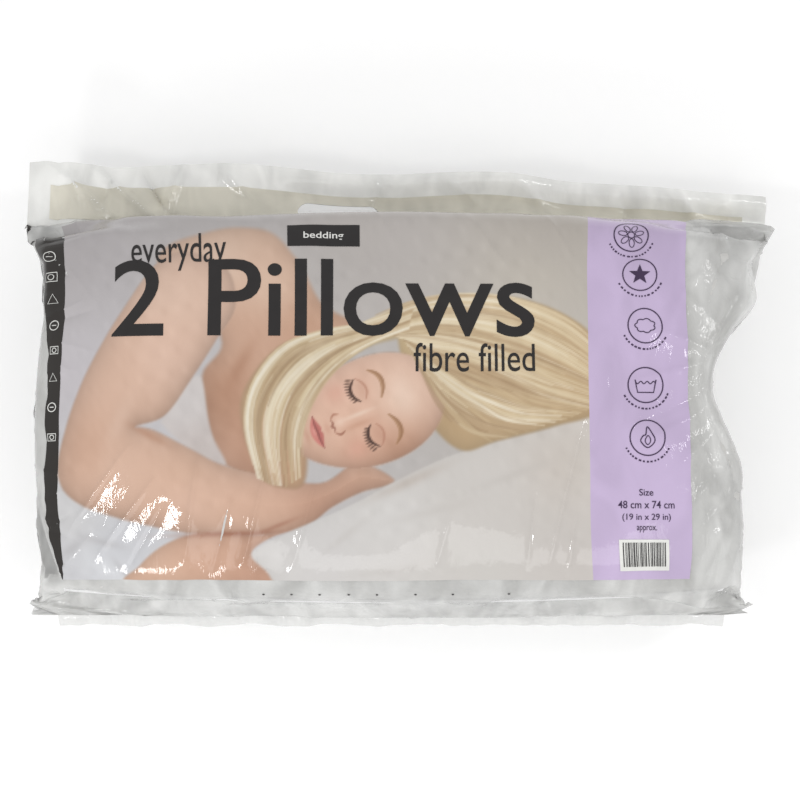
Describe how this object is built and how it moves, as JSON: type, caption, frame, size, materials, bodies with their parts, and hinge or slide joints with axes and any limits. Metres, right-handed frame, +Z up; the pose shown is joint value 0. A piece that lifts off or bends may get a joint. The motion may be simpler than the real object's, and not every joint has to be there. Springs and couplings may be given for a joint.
{
  "type": "bed pillow pack",
  "caption": "Bed pillows with fibre filling, lying one on the other in a gusseted film bag with a printed front, a folding header and a carry slot.",
  "frame": {"origin": "middle of the base of the whole pack's box, on the surface that it lies on", "axes": "+X along the pillows' long side, to the right as the front print is read; +Y across the pack towards the header; +Z up, out of the printed front"},
  "size_m": [0.7458, 0.4646, 0.1981],
  "materials": {
    "printed_film": "printed glossy polyethylene film",
    "clear_film": "clear, slightly milky glossy polyethylene film",
    "black_film": "glossy film printed black on one face",
    "strip_film": "stiffer milky film, satin",
    "ticking": "fine white woven microfibre ticking",
    "seam": "overlocked and turned sewn edge, white thread",
    "fibre": "loose hollow polyester fibre",
    "label": "white satin label tape"
  },
  "bodies": {
    "bag": {"upper_pillow_cover_top": "ticking", "upper_pillow_cover_bottom": "ticking", "upper_pillow_fibre_filling": "fibre", "upper_pillow_sewn_edge": "seam", "upper_pillow_care_label": "label", "lower_pillow_cover_top": "ticking", "lower_pillow_cover_bottom": "ticking", "lower_pillow_fibre_filling": "fibre", "lower_pillow_sewn_edge": "seam", "lower_pillow_care_label": "label", "front_panel": "printed_film", "back_panel": "clear_film", "left_gusset": "black_film", "right_gusset": "clear_film", "bottom_hem": "clear_film"},
    "header": {"header_back_film": "clear_film", "header_front_film": "clear_film", "header_strip": "strip_film"}
  },
  "joints": [
    {"name": "header_fold", "type": "hinge", "parent": "bag", "child": "header", "pos_m": [0, 0.1638, 0.0989], "axis": [1, 0, 0], "range_deg": [-35, 70]}
  ]
}
